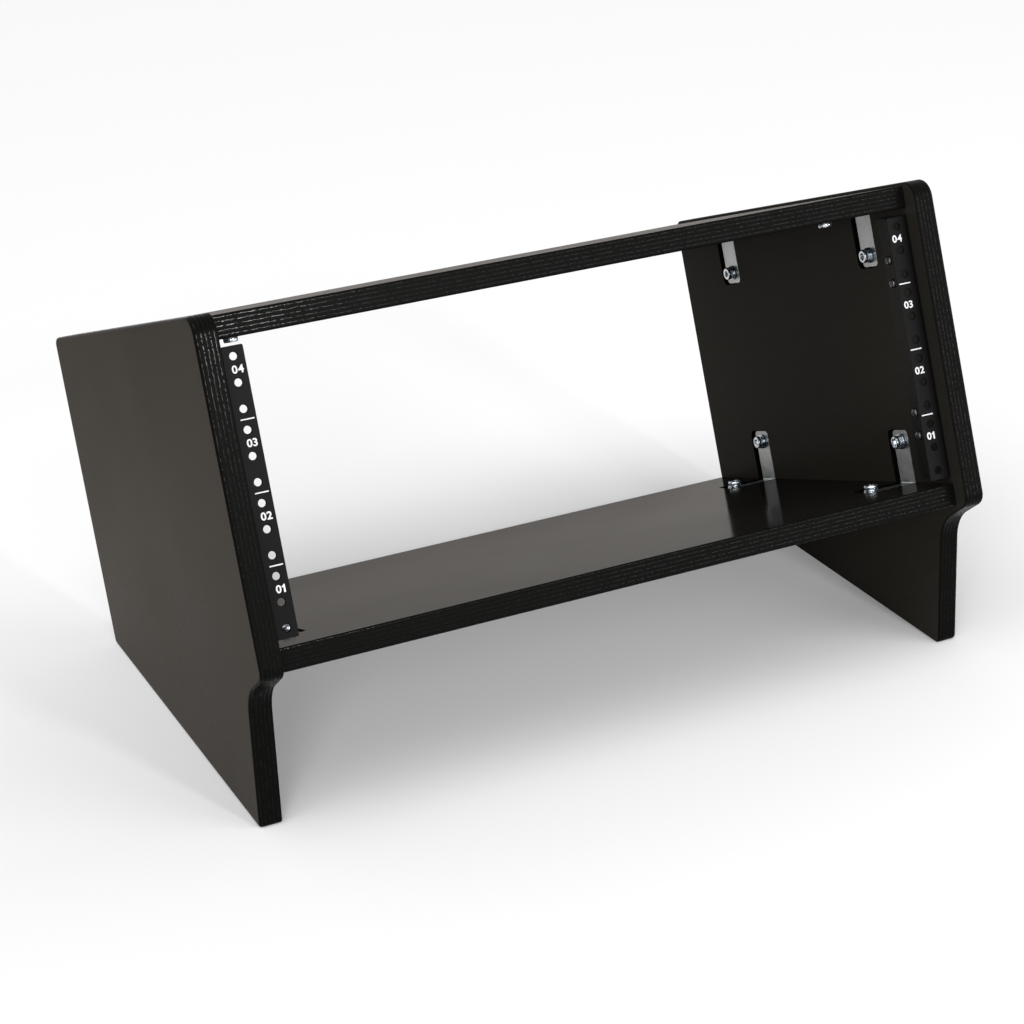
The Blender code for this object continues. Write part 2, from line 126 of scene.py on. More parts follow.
WOOD_SCREW_DIAMETER = 0.0036
WOOD_SCREW_TIP = 0.003
WOOD_SCREW_SIDES = 48
PAN_HEAD_DIAMETER = 0.006
PAN_HEAD_HEIGHT = 0.002
PAN_HEAD_RIM = 0.0007
PAN_HEAD_EASE = 0.0001
PAN_CROWN_SHARE = 0.62
PAN_CROWN_STEPS = 6
RECESS_LENGTH = 0.003
RECESS_WIDTH = 0.00072
RECESS_DEPTH = 0.0011

# How far each screw is turned from the one before it, and each rail's from the other's, in degrees
CAP_SCREW_SPIN = 37.0
RAIL_SCREW_SPIN = 29.0
RAIL_SIDE_SPIN = 11.0

# Printed marks on the rails. The gap between figures is a share of their height.
INK = 0.00006
NUMERAL_HEIGHT = 0.0049
NUMERAL_STRETCH = 1.06
NUMERAL_BOLDNESS = 0.00012
NUMERAL_GAP = 0.08
MARK_SHIFT = 0.0011
LINE_LENGTH = 0.0086
LINE_WIDTH = 0.00075

# Plywood and its black lacquer. The grain and the pores are numbers per metre.
SIDE_IOR = 1.07
CROSS_IOR = 1.029
EDGE_IOR = 1.09
SIDE_BLACK = ((0.0200, 0.0185, 0.0152), (0.0225, 0.0207, 0.0170))
CROSS_BLACK = ((0.0100, 0.0094, 0.0084), (0.0116, 0.0108, 0.0096))
EDGE_BLACK = ((0.0014, 0.0014, 0.0013), (0.0034, 0.0033, 0.0030))
PORE_GREY = (0.014, 0.014, 0.0137)
WARM_SHEEN = (1.0, 0.5, 0.15, 1.0)
SIDE_GRAIN = (400.0, 12.0, 160.0)
CROSS_GRAIN = (12.0, 160.0, 400.0)
GRAIN_HEIGHT = 0.00001
FOOT_GLOSS_HEIGHT = 0.25
LAYER = 0.00136
LAYER_WANDER = 0.00030
SEAM_EDGES = (0.00006, 0.00018)
PORE_LINE_EDGES = (0.00018, 0.00036)
PORES_ALONG = 420.0
PORES_ACROSS = 3000.0
PORE_HEIGHT = 0.000004

# Coat, print and plate
COAT_PEBBLES = 2200.0
COAT_HEIGHT = 0.00004
BRUSH_HEIGHT = 0.000015

# Floor and light. The floor fades from near to far, and the lift makes it whiter where it is seen.
FLOOR_RADIUS = 12.0
FLOOR_FADE = (-0.12, 0.30)
FLOOR_NEAR = (0.832, 0.832, 0.837)
# Painted light: further back the floor is darker but glows more, and this painted glow lightens the
# rack's shadow behind it
FLOOR_FAR = (0.60, 0.60, 0.603)
FLOOR_LIFT = (0.045, 0.415)
WHITE = (1.0, 1.0, 1.0)
# Painted reflection: the floor's glow takes this warm colour only where a mirror shows it, which warms
# the lacquer's reflections
PAINTED_WARM_REFLECTION = (1.0, 0.87, 0.76)
ROOM_LIGHT = 0.58

# Camera at the photograph's viewing angle, its angles in degrees and its lens in millimetres
CAMERA_PLACE = (-0.6773, -1.4978, 0.8133)
CAMERA_HEADING = 25.62
CAMERA_PITCH = -22.63
CAMERA_ROLL = -2.22
CAMERA_LENS = 90.387
CAMERA_SENSOR = 36.0
CAMERA_SHIFT = (-0.05, -0.05)

# Cutters, arcs and shading
OVERSHOOT = 0.002
ARC_SAG = 0.000008
EDGE_STEPS = 6
EASE_STEPS = 2
EASE_ANGLE = radians(50.0)
HOLE_SIDES = 32
ALONG_AXIS = 0.99
FLAT_FACE = 0.97
SAME_PLACE = 0.0001

X_AXIS = Vector((1.0, 0.0, 0.0))
Y_AXIS = Vector((0.0, 1.0, 0.0))
Z_AXIS = Vector((0.0, 0.0, 1.0))

SIDES = {"left": -1, "right": 1}
ENDS = {"bottom": -1, "top": 1}
PLACES = ("front", "rear")

# The leaning frame, from the direction that the rails face and the corner where they begin
mounts = {mount["name"]: mount for mount in frame["record"]["mounts"]}
INTO = -Vector(mounts["rail_left_face"]["axis"]).normalized()
UP_RAIL = X_AXIS.cross(INTO)
rail_points = [vertex.co for vertex in frame["nodes"]["rail_left"].data.vertices]
ORIGIN = INTO * min(point.dot(INTO) for point in rail_points)
ORIGIN += UP_RAIL * min(point.dot(UP_RAIL) for point in rail_points)
TURN = Matrix((X_AXIS, INTO, UP_RAIL)).transposed()
LEAN = Matrix.Translation(ORIGIN) @ TURN.to_4x4()
UNLEAN = LEAN.inverted()


def lean_box(node):
    """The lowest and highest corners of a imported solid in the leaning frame."""
    points = [UNLEAN @ vertex.co for vertex in frame["nodes"][node].data.vertices]
    return (
        Vector([min(point[axis] for point in points) for axis in range(3)]),
        Vector([max(point[axis] for point in points) for axis in range(3)]),
    )


SIDE_LOW, SIDE_HIGH = lean_box("side_panel_right")
NOSE_LEVEL = lean_box("bottom_panel")[0].z


def rounded_outline(corners):
    """Points of a closed outline. Each corner is (place, radius), and a radius of 0 stays sharp."""
    points = []
    for index, (corner, radius) in enumerate(corners):
        if radius == 0:
            points.append(corner)
            continue
        before = (corners[index - 1][0] - corner).normalized()
        after = (corners[(index + 1) % len(corners)][0] - corner).normalized()
        turn = pi - before.angle(after)
        centre = corner + (before + after).normalized() * (radius / cos(turn / 2))
        start = corner + before * radius * tan(turn / 2) - centre
        way = 1 if before.cross(after) < 0 else -1
        steps = max(3, ceil(turn / (2 * acos(1 - ARC_SAG / radius))))
        for step in range(steps + 1):
            points.append(centre + Matrix.Rotation(way * turn * step / steps, 2) @ start)
    return points


def rectangle(low_first, high_first, low_second, high_second, radii=(0.0, 0.0, 0.0, 0.0)):
    """A rectangle's outline. The radii go round from its low corner, along the first direction."""
    corners = (
        (low_first, low_second),
        (high_first, low_second),
        (high_first, high_second),
        (low_first, high_second),
    )
    return rounded_outline([(Vector(corner), radius) for corner, radius in zip(corners, radii)])


def crossing(point_a, direction_a, point_b, direction_b):
    """The point where two lines of a plane cross."""
    return point_a + direction_a * (
        (point_b - point_a).cross(direction_b) / direction_a.cross(direction_b)
    )


def side_panel_outline():
    """The side panel in the leaning frame's (Y, Z): a leaning case above, an upright leg below."""
    back = Vector((INTO.y, UP_RAIL.y))
    upright = Vector((INTO.z, UP_RAIL.z))
    along = Vector((0.0, 1.0))
    across = Vector((1.0, 0.0))
    front = Vector((SIDE_LOW.y, 0.0))
    rear = Vector((SIDE_HIGH.y, 0.0))
    crest = Vector((0.0, SIDE_HIGH.z))
    table = upright * -ORIGIN.z
    nose = Vector((SIDE_LOW.y, NOSE_LEVEL))
    shoulder = back * cos(SHOULDER_ANGLE) - upright * sin(SHOULDER_ANGLE)
    return rounded_outline([
        (crossing(front, along, crest, across), TOP_FRONT_RADIUS),
        (crossing(crest, across, rear, along), TOP_REAR_RADIUS),
        (crossing(rear, along, table, back), HEEL_RADIUS),
        (crossing(table, back, nose + back * LEG_SETBACK, upright), FOOT_RADIUS),
        (crossing(nose + back * LEG_SETBACK, upright, nose, shoulder), LEG_CURVE_RADIUS),
        (nose, NOSE_RADIUS),
    ])


def closed_mesh(bm, name, sharp=30.0):
    """Closes a bmesh into a mesh with outward faces, smooth up to the sharp angle in degrees."""
    bmesh.ops.recalc_face_normals(bm, faces=bm.faces)
    mesh = bpy.data.meshes.new(name)
    bm.to_mesh(mesh)
    bm.free()
    mesh.shade_smooth()
    mesh.set_sharp_from_angle(angle=radians(sharp))
    return mesh


def prism(name, outline, start, end, place, rounds=()):
    """Extrudes a plane outline from start to end. Each round is a radius and a test for its edges."""
    bm = bmesh.new()
    base = bm.faces.new([bm.verts.new(place(point[0], point[1], start)) for point in outline])
    grown = bmesh.ops.extrude_face_region(bm, geom=[base])["geom"]
    shift = Vector(place(0.0, 0.0, end)) - Vector(place(0.0, 0.0, start))
    moved = [item for item in grown if isinstance(item, bmesh.types.BMVert)]
    bmesh.ops.translate(bm, vec=shift, verts=moved)
    for radius, test in rounds:
        edges = [edge for edge in bm.edges if test(edge)]
        bmesh.ops.bevel(
            bm, geom=edges, offset=radius, segments=EDGE_STEPS, profile=0.5, affect="EDGES"
        )
    return closed_mesh(bm, name)


def edge_direction(edge):
    """The direction of a bmesh edge."""
    return (edge.verts[1].co - edge.verts[0].co).normalized()


def across_case(first, second, along):
    """Outlines drawn in (Y, Z) and extruded along X."""
    return (along, first, second)


def up_case(first, second, along):
    """Outlines drawn in (X, Y) and extruded along Z."""
    return (first, second, along)


def into_case(first, second, along):
    """Outlines drawn in (X, Z) and extruded along Y."""
    return (first, along, second)


def joined(name, meshes):
    """One mesh of several that don't touch. The several are used up."""
    bm = bmesh.new()
    for mesh in meshes:
        bm.from_mesh(mesh)
        bpy.data.meshes.remove(mesh)
    return closed_mesh(bm, name)


def facing(direction):
    """The rotation that takes +Z to a direction."""
    return direction.to_track_quat("Z", "Y").to_matrix().to_4x4()


def drills(name, places, direction, diameter, start, end):
    """Round cutters along a direction, each from start to end beyond its place."""
    bm = bmesh.new()
    turn = facing(direction)
    for place in places:
        bmesh.ops.create_cone(
            bm,
            cap_ends=True,
            segments=HOLE_SIDES,
            radius1=diameter / 2,
            radius2=diameter / 2,
            depth=end - start,
            matrix=Matrix.Translation(place + direction * (start + end) / 2) @ turn,
        )
    return closed_mesh(bm, name)


def worked(name, mesh, cutters=(), edge=0.0, sharp=30.0):
    """The mesh with the cutters taken out, its sharp edges eased, and flat faces shaded flat."""
    blank = bpy.data.objects.new(name, mesh)
    bpy.context.scene.collection.objects.link(blank)
    tools = []
    for cutter in cutters:
        tool = bpy.data.objects.new(cutter.name, cutter)
        bpy.context.scene.collection.objects.link(tool)
        tools.append(tool)
        modifier = blank.modifiers.new("cut", "BOOLEAN")
        modifier.operation = "DIFFERENCE"
        modifier.solver = "EXACT"
        modifier.object = tool
    if edge:
        modifier = blank.modifiers.new("edge", "BEVEL")
        modifier.width = edge
        modifier.segments = EASE_STEPS
        modifier.limit_method = "ANGLE"
        modifier.angle_limit = EASE_ANGLE
    view = bpy.context.evaluated_depsgraph_get()
    shaped = bpy.data.meshes.new_from_object(blank.evaluated_get(view), depsgraph=view)
    blank.modifiers.clear()
    blank.data = shaped
    shaped.shade_smooth()
    shaped.set_sharp_from_angle(angle=radians(sharp))
    weigh = blank.modifiers.new("weigh", "WEIGHTED_NORMAL")
    weigh.keep_sharp = True
    weigh.weight = 100
    view = bpy.context.evaluated_depsgraph_get()
    done = bpy.data.meshes.new_from_object(
        blank.evaluated_get(view), preserve_all_data_layers=True, depsgraph=view
    )
    for helper in (blank, *tools):
        bpy.data.objects.remove(helper)
    done.name = name
    return done


def show(name, mesh, materials, nodes=(), place=None):
    """Puts a piece on the rack. Without a place, its mesh is drawn in the leaning frame."""
    piece = bpy.data.objects.new(name, mesh)
    bpy.context.scene.collection.objects.link(piece)
    if place is None:
        mesh.transform(LEAN)
    else:
        piece.matrix_world = LEAN @ place
    for material in materials:
        mesh.materials.append(material)
    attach(piece, "root")
    if nodes:
        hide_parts(*nodes)
    return piece


def split_by_normal(mesh, axis):
    """Gives the faces that don't look along an axis the mesh's second material."""
    for face in mesh.polygons:
        face.material_index = 0 if abs(face.normal[axis]) > FLAT_FACE else 1


def bracket_boxes():
    """Each bracket's (side name, end name, place, low corner, high corner)."""
    for place in PLACES:
        for side_name in SIDES:
            for end_name in ENDS:
                box = lean_box(f"bracket_{side_name}_{end_name}_{place}")
                yield side_name, end_name, place, *box


def channel_width(low, high):
    """Where a channel starts and ends along Y, from its bracket's box."""
    return low.y - CHANNEL_SIDE_ROOM, high.y + CHANNEL_SIDE_ROOM


def make_side_panel(side_name, materials):
    """One side panel with its bracket channels, insert holes and pilot holes."""
    side = SIDES[side_name]
    name = f"side_panel_{side_name}"
    low, high = lean_box(name)
    inner, outer = sorted((low.x, high.x), key=abs)
    floor = inner + side * CHANNEL_DEPTH
    body = prism(
        name,
        side_panel_outline(),
        inner,
        outer,
        across_case,
        [
            (SIDE_EDGE_ROUND, lambda edge: all(abs(v.co.x - outer) < OVERSHOOT for v in edge.verts)),
            (SIDE_INNER_EDGE_ROUND, lambda edge: all(v.co.x == inner for v in edge.verts)),
        ],
    )
    channels, holes = [], []
    for bracket_side, end_name, _, bracket_low, bracket_high in bracket_boxes():
        if bracket_side != side_name:
            continue
        outline = rectangle(
            *channel_width(bracket_low, bracket_high),
            bracket_low.z - CHANNEL_END_ROOM,
            bracket_high.z + CHANNEL_END_ROOM,
            radii=(ROUTER_RADIUS,) * 4,
        )
        channels.append(prism("channel", outline, inner - side * OVERSHOOT, floor, across_case))
        if ENDS[end_name] > 0:
            level = bracket_high.z - BRACKET_HOLE_REACH
        else:
            level = bracket_low.z + BRACKET_HOLE_REACH
        holes.append(Vector((floor, (bracket_low.y + bracket_high.y) / 2, level)))
    outward = Vector((side, 0.0, 0.0))
    screws = [lean_box(f"rail_screw_{side_name}_{number}") for number in range(1, 5)]
    pilots = [Vector((inner, (a.y + b.y) / 2, (a.z + b.z) / 2)) for a, b in screws]
    cutters = [
        joined("channels", channels),
        drills("inserts", holes, outward, INSERT_HOLE_DIAMETER, -OVERSHOOT, INSERT_HOLE_DEPTH),
        drills("pilots", pilots, outward, RAIL_SCREW_HOLE, -OVERSHOOT, PILOT_DEPTH),
    ]
    mesh = worked(name, body, cutters, edge=CUT_EDGE)
    split_by_normal(mesh, 0)
    show(name, mesh, materials, [name])


def make_cross_panel(end_name, materials):
    """The top panel or the bottom panel, with channels that open at its ends."""
    end = ENDS[end_name]
    name = f"{end_name}_panel"
    low, high = lean_box(name)
    inner = low.z if end > 0 else high.z
    floor = inner + end * CHANNEL_DEPTH
    body = prism(
        name,
        rectangle(low.y, high.y, low.z, high.z),
        low.x,
        high.x,
        across_case,
        [(PANEL_EDGE_ROUND, lambda edge: abs(edge_direction(edge).x) > ALONG_AXIS)],
    )
    channels, holes = [], []
    for side_name, bracket_end, _, bracket_low, bracket_high in bracket_boxes():
        if bracket_end != end_name:
            continue
        side = SIDES[side_name]
        shut = bracket_low.x if side > 0 else bracket_high.x
        limits = sorted((shut - side * CHANNEL_END_ROOM, side * (high.x + OVERSHOOT)))
        low_end, high_end = (ROUTER_RADIUS, 0.0) if side > 0 else (0.0, ROUTER_RADIUS)
        outline = rectangle(
            *limits,
            *channel_width(bracket_low, bracket_high),
            radii=(low_end, high_end, high_end, low_end),
        )
        channels.append(prism("channel", outline, inner - end * OVERSHOOT, floor, up_case))
        hole = shut + side * BRACKET_HOLE_INSET
        holes.append(Vector((hole, (bracket_low.y + bracket_high.y) / 2, floor)))
    outward = Vector((0.0, 0.0, end))
    cutters = [
        joined("channels", channels),
        drills("inserts", holes, outward, INSERT_HOLE_DIAMETER, -OVERSHOOT, INSERT_HOLE_DEPTH),
    ]
    mesh = worked(name, body, cutters, edge=CUT_EDGE)
    split_by_normal(mesh, 2)
    show(name, mesh, materials, [name])


def hole_levels():
    """The levels of a rail's holes: three in each unit, half a short step from its ends."""
    edge = (RACK_UNIT - 2 * HOLE_STEP) / 2
    return [
        unit * RACK_UNIT + edge + hole * HOLE_STEP
        for unit in range(UNITS)
        for hole in range(3)
    ]


def tap_mesh():
    """A cutter on Z for a tapped hole through the rail's steel, from its front face at height 0."""
    bore, root = RAIL_THREAD_BORE / 2, RAIL_THREAD_DIAMETER / 2
    rings = [(root, -OVERSHOOT)]
    for step in range(TAP_STEPS):
        height = RAIL_STEEL * (step + 0.5) / TAP_STEPS
        mouth = root - min(height, RAIL_STEEL - height)

        def radius(angle, height=height, mouth=mouth):
            turn = (height / RAIL_THREAD_PITCH + angle / (2 * pi)) % 1.0
            return max(bore + (root - bore) * abs(2 * turn - 1), mouth)

        rings.append((radius, height))
    rings.append((root, RAIL_STEEL + OVERSHOOT))
    return turned("tap", rings, TAP_SIDES)


def make_rail(side_name, paint, bare):
    """A steel angle, its narrow flange to the front and its wide one on the side panel."""
    side = SIDES[side_name]
    name = f"rail_{side_name}"
    low, high = lean_box(name)
    tip, back = sorted((low.x, high.x), key=abs)
    lining = back - side * RAIL_STEEL
    section = rounded_outline([
        (Vector((tip, low.y)), 0.0),
        (Vector((back, low.y)), RAIL_INSIDE_RADIUS + RAIL_STEEL),
        (Vector((back, high.y)), 0.0),
        (Vector((lining, high.y)), 0.0),
        (Vector((lining, low.y + RAIL_STEEL)), RAIL_INSIDE_RADIUS),
        (Vector((tip, low.y + RAIL_STEEL)), 0.0),
    ])
    column = side * HOLE_COLUMN_SPACING / 2
    fronts = [Vector((column, low.y, level)) for level in hole_levels()]
    screws = [lean_box(f"rail_screw_{side_name}_{number}") for number in range(1, 5)]
    flanks = [Vector((lining, (a.y + b.y) / 2, (a.z + b.z) / 2)) for a, b in screws]
    taps = []
    for front in fronts:
        tap = tap_mesh()
        tap.transform(Matrix.Translation(front) @ facing(Y_AXIS))
        taps.append(tap)
    through = (-OVERSHOOT, RAIL_STEEL + OVERSHOOT)
    cutters = [
        joined("front_holes", taps),
        drills("side_holes", flanks, Vector((side, 0.0, 0.0)), RAIL_SCREW_HOLE, *through),
    ]

    def on_corner(edge):
        middle = (edge.verts[0].co + edge.verts[1].co) / 2
        along = edge_direction(edge)
        at_tip = abs(along.y) > ALONG_AXIS and abs(middle.x - tip) < SAME_PLACE
        at_rear = abs(along.x) > ALONG_AXIS and abs(middle.y - high.y) < SAME_PLACE
        return at_tip or at_rear

    bar = prism(name, section, low.z, high.z, up_case, [(RAIL_END_RADIUS, on_corner)])
    mesh = worked(name, worked(name, bar, edge=RAIL_EDGE), cutters)
    reach = RAIL_THREAD_DIAMETER / 2 + THREAD_FACE_ROOM
    for face in mesh.polygons:
        x, _, z = face.center
        in_hole = any((x - f.x) ** 2 + (z - f.z) ** 2 < reach ** 2 for f in fronts)
        if in_hole and abs(face.normal.y) < FLAT_FACE:
            face.material_index = 1
    show(name, mesh, [paint, bare], [name])


def glyph_mesh(glyph):
    """A figure's thin print in (X, Y), as high as 1, its lower left corner at the origin."""
    curve = bpy.data.curves.new(glyph, "FONT")
    curve.body = glyph
    curve.offset = NUMERAL_BOLDNESS / NUMERAL_HEIGHT
    curve.extrude = INK / NUMERAL_HEIGHT
    helper = bpy.data.objects.new(glyph, curve)
    bpy.context.scene.collection.objects.link(helper)
    view = bpy.context.evaluated_depsgraph_get()
    mesh = bpy.data.meshes.new_from_object(helper.evaluated_get(view))
    bpy.data.objects.remove(helper)
    reach = [[vertex.co[axis] for vertex in mesh.vertices] for axis in range(2)]
    mesh.transform(Matrix.Translation((-min(reach[0]), -min(reach[1]), 0.0)))
    height = max(reach[1]) - min(reach[1])
    mesh.transform(Matrix.Diagonal((NUMERAL_STRETCH / height, 1.0 / height, 1.0 / height, 1.0)))
    return mesh, NUMERAL_STRETCH * (max(reach[0]) - min(reach[0])) / height


def figure_one_mesh():
    """A figure 1 with a flag, as glyph_mesh draws the others."""
    width = 0.46
    outline = [
        Vector(corner)
        for corner in (
            (0.20, 0.0), (0.44, 0.0), (0.44, 1.0), (0.27, 1.0), (0.19, 0.86), (0.0, 0.78),
            (0.0, 0.62), (0.20, 0.66),
        )
    ]
    thickness = INK / NUMERAL_HEIGHT
    return prism("1", outline, -thickness, thickness, up_case), width


def numeral_mesh(text):
    """A number's thin raised print in (X, Z), its face on -Y, its middle at the origin."""
    meshes = []
    reach = 0.0
    for glyph in text:
        mesh, width = figure_one_mesh() if glyph == "1" else glyph_mesh(glyph)
        mesh.transform(Matrix.Translation((reach, -0.5, 0.0)))
        reach += width + NUMERAL_GAP
        meshes.append(mesh)
    mesh = joined(text, meshes)
    centred = Matrix.Translation(((NUMERAL_GAP - reach) / 2, 0.0, 0.0))
    mesh.transform(Matrix.Rotation(pi / 2, 4, "X") @ Matrix.Scale(NUMERAL_HEIGHT, 4) @ centred)
    return mesh


def make_marks(side_name, ink):
    """The white unit numbers and the short lines between the units of one rail."""
    side = SIDES[side_name]
    middle = side * (HOLE_COLUMN_SPACING / 2 - MARK_SHIFT)
    meshes = []
    for unit in range(UNITS):
        numeral = numeral_mesh(f"{unit + 1:02d}")
        level = hole_levels()[3 * unit + 1] + HOLE_STEP / 2
        numeral.transform(Matrix.Translation((middle, 0.0, level)))
        meshes.append(numeral)
        if unit:
            limits = (middle - LINE_LENGTH / 2, middle + LINE_LENGTH / 2)
            level = unit * RACK_UNIT
            outline = rectangle(*limits, level - LINE_WIDTH / 2, level + LINE_WIDTH / 2)
            meshes.append(prism("line", outline, -INK, INK, into_case))
    mesh = joined(f"marks_{side_name}", meshes)
    show(f"rail_marks_{side_name}", mesh, [ink])


def turned(name, rings, sides, closed_loop=False, sharp=40.0):
    """A round piece on Z through rings of (radius or function of the angle, height)."""
    bm = bmesh.new()
    loops = []
    for radius, height in rings:
        loop = []
        for side in range(sides):
            angle = 2 * pi * side / sides
            reach = radius(angle) if callable(radius) else radius
            loop.append(bm.verts.new((reach * cos(angle), reach * sin(angle), height)))
        loops.append(loop)
    pairs = list(zip(loops, loops[1:]))
    if closed_loop:
        pairs.append((loops[-1], loops[0]))
    else:
        bm.faces.new(loops[0])
        bm.faces.new(loops[-1])
    for lower, upper in pairs:
        for side in range(sides):
            after = (side + 1) % sides
            bm.faces.new((lower[side], lower[after], upper[after], upper[side]))
    return closed_mesh(bm, name, sharp)


def hexagon(flats):
    """The radius of a hexagon at an angle, from its width across flats."""
    def radius(angle):
        return flats / 2 / cos((angle + pi / 6) % (pi / 3) - pi / 6)
    return radius


def knurled(diameter):
    """The radius of a head with ridges round it, at an angle."""
    def radius(angle):
        return diameter / 2 - KNURL_DEPTH * (0.5 - 0.5 * cos(KNURLS * angle))
    return radius


def cap_screw_mesh(tip):
    """A cap screw on Z, the underside of its head at height 0."""
    top = CAP_HEAD_HEIGHT
    shank = THREAD_DIAMETER / 2
    rim = CAP_HEAD_DIAMETER / 2 - KNURL_DEPTH
    ridges = knurled(CAP_HEAD_DIAMETER)
    rings = [(shank, tip), (shank, 0.0), (rim, 0.0), (ridges, KNURL_RISE)]
    rings.append((ridges, top - CAP_HEAD_ROUND - KNURL_RUNOUT))
    for step in range(CAP_HEAD_ROUND_STEPS + 1):
        angle = step / CAP_HEAD_ROUND_STEPS * pi / 2
        reach = rim - CAP_HEAD_ROUND * (1 - cos(angle))
        rings.append((reach, top - CAP_HEAD_ROUND * (1 - sin(angle))))
    rings.append((SOCKET_MOUTH_DIAMETER / 2, top))
    rings.append((hexagon(SOCKET_FLATS), top - SOCKET_CHAMFER))
    rings.append((hexagon(SOCKET_FLATS), top - SOCKET_DEPTH))
    return turned("cap_screw", rings, CAP_SCREW_SIDES)


def flat_washer_mesh():
    """A flat washer on Z, its underside at height 0, its outer edges eased."""
    outer = FLAT_WASHER_DIAMETER / 2
    bore = THREAD_DIAMETER / 2 + FLAT_WASHER_BORE_ROOM
    ease = FLAT_WASHER_EASE
    thickness = FLAT_WASHER_THICKNESS
    rings = [
        (bore, 0.0),
        (outer - ease, 0.0),
        (outer, ease),
        (outer, thickness - ease),
        (outer - ease, thickness),
        (bore, thickness),
    ]
    return turned("flat_washer", rings, FLAT_WASHER_SIDES, closed_loop=True, sharp=50.0)


def lock_washer_mesh():
    """A split lock washer on Z: one turn of square wire that climbs a little from end to end."""
    bm = bmesh.new()
    outer = LOCK_WASHER_DIAMETER / 2
    bore = LOCK_WASHER_BORE / 2
    ease = LOCK_WASHER_EASE
    wire = LOCK_WASHER_THICKNESS * LOCK_WASHER_WIRE_SHARE
    climb = LOCK_WASHER_THICKNESS - wire
    loops = []
    for step in range(LOCK_WASHER_STEPS + 1):
        share = step / LOCK_WASHER_STEPS
        angle = LOCK_WASHER_SPLIT / 2 + (2 * pi - LOCK_WASHER_SPLIT) * share
        low = climb * share
        section = (
            (bore, low),
            (outer - ease, low),
            (outer, low + ease),
            (outer, low + wire - ease),
            (outer - ease, low + wire),
            (bore, low + wire),
        )
        loops.append([bm.verts.new((r * cos(angle), r * sin(angle), z)) for r, z in section])
    bm.faces.new(loops[0])
    bm.faces.new(loops[-1])
    for before, after in zip(loops, loops[1:]):
        for index in range(len(before)):
            other = (index + 1) % len(before)
            bm.faces.new((before[index], before[other], after[other], after[index]))
    return closed_mesh(bm, "lock_washer", 50.0)


def wood_screw_mesh(tip):
    """A pan head wood screw on Z with a cross recess, the underside of its head at height 0."""
    shank = WOOD_SCREW_DIAMETER / 2
    head = PAN_HEAD_DIAMETER / 2
    rings = [
        (shank / 5, tip),
        (shank, tip + WOOD_SCREW_TIP),
        (shank, 0.0),
        (head - PAN_HEAD_EASE, 0.0),
        (head, PAN_HEAD_EASE),
    ]
    crown = PAN_HEAD_HEIGHT - PAN_HEAD_RIM
    for step in range(PAN_CROWN_STEPS + 1):
        angle = step / PAN_CROWN_STEPS * pi / 2
        reach = head * (1 - PAN_CROWN_SHARE * (1 - cos(angle)))
        rings.append((reach, PAN_HEAD_RIM + crown * sin(angle)))
    body = turned("wood_screw", rings, WOOD_SCREW_SIDES)
    recess = []
    half_length, half_width = RECESS_LENGTH / 2, RECESS_WIDTH / 2
    for quarter in range(2):
        blade = prism(
            "recess",
            rectangle(-half_length, half_length, -half_width, half_width),
            PAN_HEAD_HEIGHT - RECESS_DEPTH,
            PAN_HEAD_HEIGHT + OVERSHOOT,
            up_case,
        )
        blade.transform(Matrix.Rotation(quarter * pi / 2, 4, "Z"))
        recess.append(blade)
    return worked("wood_screw", body, recess, sharp=40.0)


def bracket_mesh():
    """A flat bar bent to a right angle on Y, its outer corner at the origin, legs on +X and +Z."""
    low, high = lean_box("bracket_left_bottom_front")
    half = (high.y - low.y) / 2
    section = rounded_outline([
        (Vector((0.0, 0.0)), BRACKET_INSIDE_RADIUS + BRACKET_STEEL),
        (Vector((BRACKET_LEG, 0.0)), 0.0),
        (Vector((BRACKET_LEG, BRACKET_STEEL)), 0.0),
        (Vector((BRACKET_STEEL, BRACKET_STEEL)), BRACKET_INSIDE_RADIUS),
        (Vector((BRACKET_STEEL, BRACKET_LEG)), 0.0),
        (Vector((0.0, BRACKET_LEG)), 0.0),
    ])

    def on_leg_end(edge):
        middle = (edge.verts[0].co + edge.verts[1].co) / 2
        at_end = max(middle.x, middle.z) > BRACKET_HOLE_REACH
        return at_end and abs(edge_direction(edge).y) < ALONG_AXIS

    bar = prism("bracket", section, -half, half, into_case, [(BRACKET_END_RADIUS, on_leg_end)])
    through = (-OVERSHOOT, BRACKET_STEEL + OVERSHOOT)
    cutters = [
        drills("hole", [leg * BRACKET_HOLE_REACH], across, BRACKET_HOLE_DIAMETER, *through)
        for leg, across in ((X_AXIS, Z_AXIS), (Z_AXIS, X_AXIS))
    ]
    return worked("bracket", bar, cutters, edge=BRACKET_EDGE)


